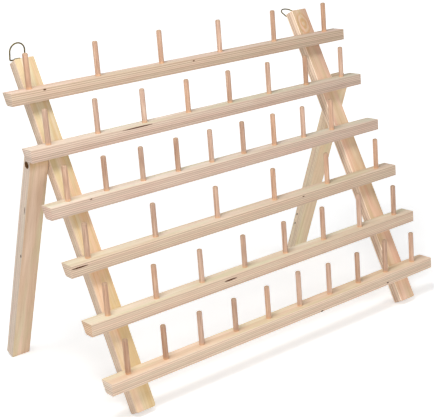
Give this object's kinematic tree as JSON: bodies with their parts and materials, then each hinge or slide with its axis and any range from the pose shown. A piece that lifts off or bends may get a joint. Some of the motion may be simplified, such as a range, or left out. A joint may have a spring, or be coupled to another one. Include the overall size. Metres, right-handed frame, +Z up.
{
  "type": "thread rack",
  "caption": "Folding wooden rack for thread spools: rows of pegs on bevelled bars, leaning rails, swing-out rear legs and rings for hanging on a wall.",
  "frame": {"origin": "centre of the standing rack's bounding box, on the ground", "axes": "+X along the bars, to the right seen from the front; +Y to the back; +Z up"},
  "size_m": [0.641, 0.317, 0.4879],
  "materials": {
    "rail_plywood": "bare sanded birch plywood",
    "bar_plywood": "bare sanded birch plywood",
    "leg_plywood": "bare sanded birch plywood",
    "peg_wood": "bare dowel, smooth",
    "brass": "bright, slightly aged",
    "zinc_steel": "zinc plated"
  },
  "bodies": {
    "frame": {"left_rail": "rail_plywood", "right_rail": "rail_plywood", "bar_1": "bar_plywood", "bar_2": "bar_plywood", "bar_3": "bar_plywood", "bar_4": "bar_plywood", "bar_5": "bar_plywood", "bar_6": "bar_plywood", "bar_1_pegs": "peg_wood", "bar_2_pegs": "peg_wood", "bar_3_pegs": "peg_wood", "bar_4_pegs": "peg_wood", "bar_5_pegs": "peg_wood", "bar_6_pegs": "peg_wood", "left_bar_screws": "zinc_steel", "right_bar_screws": "zinc_steel", "left_pivot_screw": "zinc_steel", "right_pivot_screw": "zinc_steel", "left_head_washer": "zinc_steel", "right_head_washer": "zinc_steel", "left_spacer_washer": "zinc_steel", "right_spacer_washer": "zinc_steel", "left_hanger_strap": "brass", "right_hanger_strap": "brass", "left_hanger_screw": "brass", "right_hanger_screw": "brass"},
    "left_leg": {"left_rear_leg": "leg_plywood"},
    "right_leg": {"right_rear_leg": "leg_plywood"},
    "left_hanging_ring": {"left_ring": "brass"},
    "right_hanging_ring": {"right_ring": "brass"}
  },
  "joints": [
    {"name": "left_leg_fold", "type": "hinge", "parent": "frame", "child": "left_leg", "pos_m": [-0.3015, 0.02352, 0.33127], "axis": [1, 0, 0], "range_deg": [-48.1, 0]},
    {"name": "right_leg_fold", "type": "hinge", "parent": "frame", "child": "right_leg", "pos_m": [0.2922, 0.02727, 0.33833], "axis": [1, 0, 0], "range_deg": [-48.1, 0]},
    {"name": "left_ring_swing", "type": "hinge", "parent": "frame", "child": "left_hanging_ring", "pos_m": [-0.26995, 0.10559, 0.46262], "axis": [1, 0, 0], "range_deg": [-217, 63]},
    {"name": "right_ring_swing", "type": "hinge", "parent": "frame", "child": "right_hanging_ring", "pos_m": [0.26065, 0.10113, 0.45423], "axis": [1, 0, 0], "range_deg": [-144, 45]}
  ]
}
